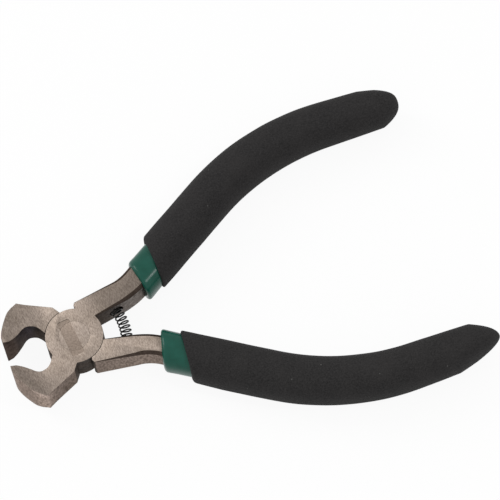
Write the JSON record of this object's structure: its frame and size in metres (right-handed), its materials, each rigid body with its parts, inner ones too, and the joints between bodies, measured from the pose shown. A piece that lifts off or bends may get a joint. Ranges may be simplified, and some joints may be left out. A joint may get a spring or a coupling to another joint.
{
  "type": "end cutting nippers",
  "caption": "Open end cutting nippers: crossed steel levers on a flush rivet, a small return spring, dipped sleeves and foam grips on splayed handles.",
  "frame": {"origin": "on the pivot axis, at the back face of the joint", "axes": "+X from the jaws to the handles, +Y across towards the front lever's handle, +Z along the pivot to the front face"},
  "size_m": [0.1105, 0.0766, 0.012],
  "materials": {
    "lever_steel": "satin, warm grey, fine grain across the tool",
    "rivet_steel": "satin, ground flush",
    "spring_steel": "oiled black wire",
    "dipped_vinyl": "glossy dark green dip",
    "foam": "matte dark grey closed-cell foam"
  },
  "bodies": {
    "front_half": {"front_lever": "lever_steel", "pivot_rivet": "rivet_steel", "front_sleeve": "dipped_vinyl", "front_grip": "foam"},
    "rear_half": {"rear_lever": "lever_steel", "rear_sleeve": "dipped_vinyl", "rear_grip": "foam"},
    "spring": {"return_spring": "spring_steel"}
  },
  "joints": [
    {"name": "jaw_pivot", "type": "hinge", "parent": "front_half", "child": "rear_half", "pos_m": [0, 0, 0.0037], "axis": [0, 0, 1], "range_deg": [0, 21.2], "stiffness_Nm_per_rad": 0.4, "deforming": ["return_spring"]},
    {"name": "spring_follow", "type": "hinge", "parent": "front_half", "child": "spring", "pos_m": [-0.0004, 0.00435, 0.0037], "axis": [0, 0, 1], "range_deg": [0, 10.6]}
  ],
  "couplings": [
    {"joint": "spring_follow", "follows": "jaw_pivot", "ratio": 0.5}
  ]
}
